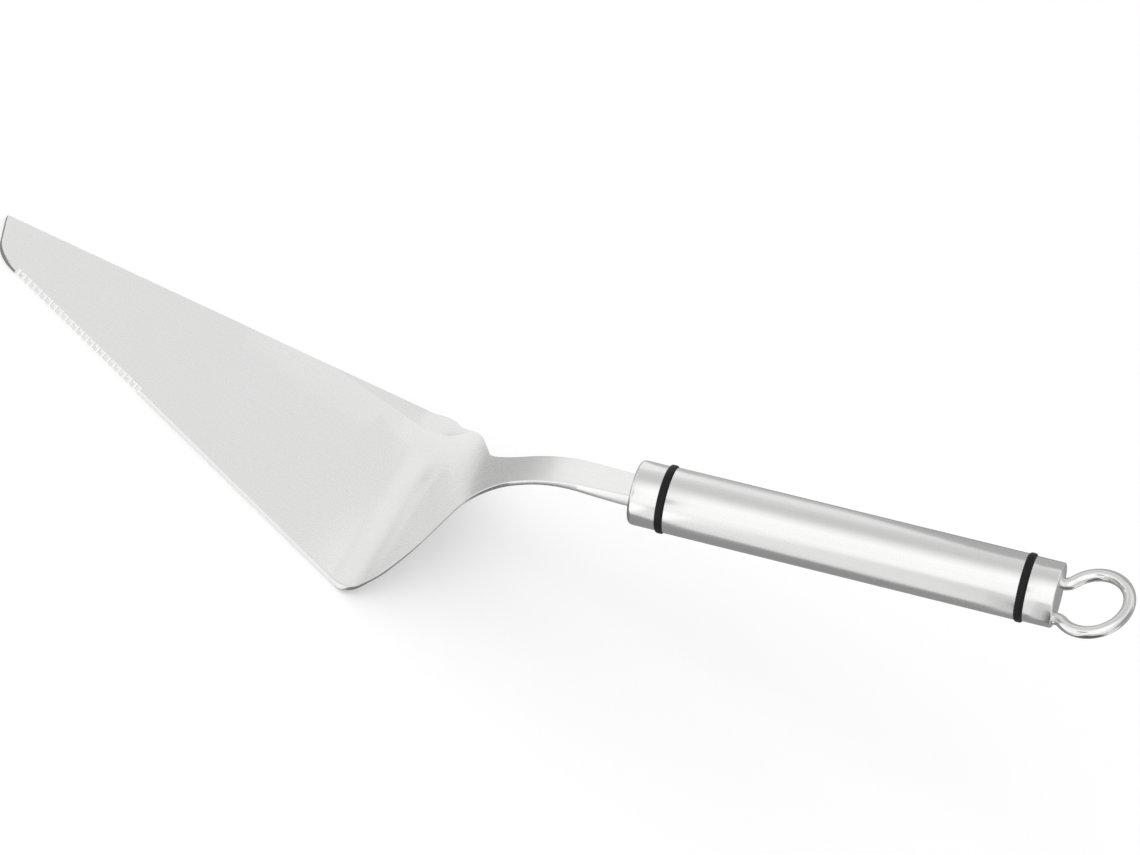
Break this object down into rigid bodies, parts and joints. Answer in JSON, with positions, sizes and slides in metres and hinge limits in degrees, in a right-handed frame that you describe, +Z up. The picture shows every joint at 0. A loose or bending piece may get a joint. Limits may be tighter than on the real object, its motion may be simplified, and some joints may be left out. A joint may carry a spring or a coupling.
{
  "type": "cake server",
  "caption": "Steel cake server with a flat triangular blade, a partly serrated edge, an upswept strip neck, a round tube handle with black sealing rings and a wire hanging loop.",
  "frame": {"origin": "on the underside of the flat blade, on the blade's centre line, just in front of the line where the back begins to turn up", "axes": "+Z up from the flat blade; +X from the blade's tip towards the handle; the serrated edge is on -Y"},
  "size_m": [0.2683, 0.0762, 0.1019],
  "materials": {
    "blade_steel": "fine satin sheet, semi-bright",
    "handle_steel": "satin, brushed along the handle",
    "loop_steel": "polished wire",
    "seal_rubber": "smooth black",
    "plug_plastic": "moulded, not seen from outside"
  },
  "bodies": {
    "root": {"blade": "blade_steel", "front_cap": "handle_steel", "front_ring": "seal_rubber", "handle_tube": "handle_steel", "tang_plug": "plug_plastic", "rear_ring": "seal_rubber", "end_cap": "handle_steel", "hanging_loop": "loop_steel"}
  },
  "joints": []
}
